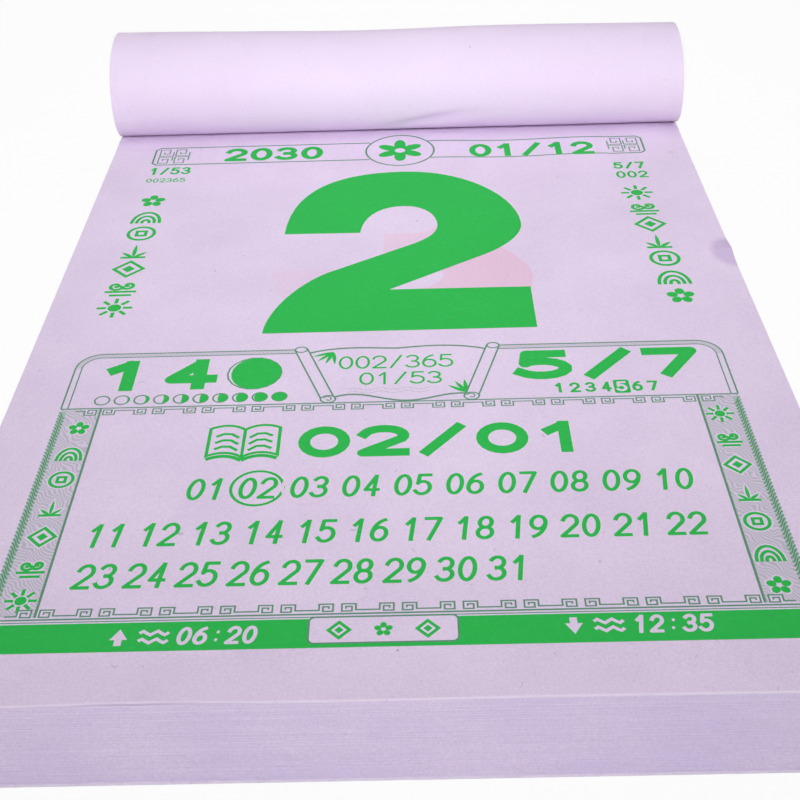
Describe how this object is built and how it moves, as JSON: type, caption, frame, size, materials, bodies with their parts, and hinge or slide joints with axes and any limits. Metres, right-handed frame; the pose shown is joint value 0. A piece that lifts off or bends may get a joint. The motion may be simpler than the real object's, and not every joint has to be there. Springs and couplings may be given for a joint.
{
  "type": "tear-off day calendar",
  "caption": "Thick tear-off day calendar block lying flat: leaves stitched under a head strip on a backing card, the first leaf looped back over the head and tucked under.",
  "frame": {"origin": "on the table, under the middle of the whole footprint, on the turned leaf's tail", "axes": "+X across the page to the right, +Y up the page from its front edge to the bound head, +Z out of the page"},
  "size_m": [0.185, 0.277, 0.051],
  "materials": {
    "leaf_paper": "matt uncoated lilac calendar paper",
    "back_board": "matt pale lilac board",
    "strip_board": "matt pale board",
    "staple_wire": "galvanised flat wire"
  },
  "bodies": {
    "block": {"back_card": "back_board", "december_leaves": "leaf_paper", "november_leaves": "leaf_paper", "october_leaves": "leaf_paper", "september_leaves": "leaf_paper", "august_leaves": "leaf_paper", "july_leaves": "leaf_paper", "june_leaves": "leaf_paper", "may_leaves": "leaf_paper", "april_leaves": "leaf_paper", "march_leaves": "leaf_paper", "february_leaves": "leaf_paper", "january_stubs": "leaf_paper", "next_leaf_stub": "leaf_paper", "day_leaf_stub": "leaf_paper", "turned_leaf": "leaf_paper", "head_strip": "strip_board", "staples": "staple_wire"},
    "january_leaves": {"january_leaves": "leaf_paper"},
    "next_leaf": {"next_leaf": "leaf_paper"},
    "day_leaf": {"day_leaf": "leaf_paper"}
  },
  "joints": [
    {"name": "january_lift", "type": "hinge", "parent": "block", "child": "january_leaves", "pos_m": [0, 0.09348, 0.0227], "axis": [-1, 0, 0], "range_deg": [0, 25]},
    {"name": "next_leaf_lift", "type": "hinge", "parent": "january_leaves", "child": "next_leaf", "pos_m": [0, 0.09348, 0.0227], "axis": [-1, 0, 0], "range_deg": [0, 30]},
    {"name": "day_leaf_lift", "type": "hinge", "parent": "next_leaf", "child": "day_leaf", "pos_m": [0, 0.09348, 0.0227], "axis": [-1, 0, 0], "range_deg": [0, 45]}
  ]
}
